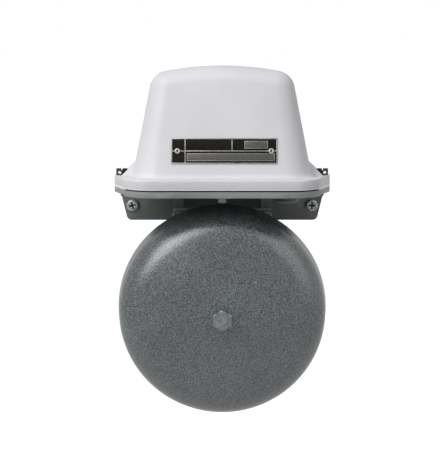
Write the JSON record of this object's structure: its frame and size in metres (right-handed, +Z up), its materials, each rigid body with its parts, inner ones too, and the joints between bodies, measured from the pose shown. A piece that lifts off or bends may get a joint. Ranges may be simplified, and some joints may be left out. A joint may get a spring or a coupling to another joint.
{
  "type": "electric signal bell",
  "caption": "Weatherproof wall-mounted electric bell: hooded solenoid housing above a round steel gong struck from above by a sprung plunger.",
  "frame": {"origin": "on the wall plane, midway between the axes of the two wall screws", "axes": "+X right seen from the front, +Y into the wall, +Z up"},
  "size_m": [0.1518, 0.1083, 0.2489],
  "materials": {
    "hammertone": "hammertone enamel, blue-grey, semi-gloss",
    "casting_enamel": "grey hammer-finish enamel, satin",
    "cover_enamel": "pale grey stove enamel, satin",
    "gasket_rubber": "black rubber, matt",
    "zinc_plate": "zinc-plated steel",
    "dark_screw": "dark blackened steel",
    "brass": "turned brass",
    "fibre": "red vulcanised fibre",
    "magnet_steel": "bare soft iron",
    "spring_steel": "drawn spring wire",
    "bobbin_plastic": "moulded nylon, natural",
    "winding_tape": "polyester winding tape, yellow",
    "terminal_plastic": "black phenolic moulding",
    "lead_sleeve": "PVC insulation, red",
    "gland_plastic": "grey nylon",
    "black_plate": "black-filled aluminium plate",
    "rivet_aluminium": "plain aluminium rivets",
    "striker_plastic": "nylon tip"
  },
  "bodies": {
    "base": {"base_casting": "casting_enamel", "cover_gasket": "gasket_rubber", "wall_screw_left": "zinc_plate", "wall_screw_right": "zinc_plate", "gong_bracket": "casting_enamel", "gong_bracket_screws": "casting_enamel", "gong_post": "zinc_plate", "gong_post_washer": "zinc_plate", "gong_post_nut": "zinc_plate", "gong_seat_washer": "fibre", "gong": "hammertone", "gong_bolt": "zinc_plate", "guide_bush": "brass", "magnet_frame": "magnet_steel", "magnet_top": "magnet_steel", "magnet_screws": "zinc_plate", "coil_bobbin": "bobbin_plastic", "coil_winding": "winding_tape", "core_tube": "brass", "pole_piece": "magnet_steel", "plunger_buffer": "gasket_rubber", "return_spring": "spring_steel", "terminal_block": "terminal_plastic", "terminal_clamps": "brass", "terminal_screws": "brass", "coil_lead_a": "lead_sleeve", "coil_lead_b": "lead_sleeve", "earth_washer": "brass", "earth_screw": "brass", "gland_body": "gland_plastic", "gland_seal": "gasket_rubber", "gland_nut": "gland_plastic", "gland_locknut": "gland_plastic"},
    "cover": {"cover": "cover_enamel", "cover_screw_left": "dark_screw", "cover_screw_right": "dark_screw", "nameplate": "black_plate", "nameplate_rivets": "rivet_aluminium"},
    "striker": {"plunger": "magnet_steel", "striker_rod": "zinc_plate", "striker_tip": "striker_plastic", "spring_collar": "zinc_plate", "spring_clip": "spring_steel"}
  },
  "joints": [
    {"name": "striker_slide", "type": "slide", "parent": "base", "child": "striker", "axis": [0, 0, -1], "range_m": [0, 0.0017], "stiffness_N_per_m": 600, "springref_m": -0.004, "deforming": ["return_spring"]},
    {"name": "cover_lift", "type": "slide", "parent": "base", "child": "cover", "axis": [0, 0, 1], "range_m": [0, 0.09]}
  ]
}
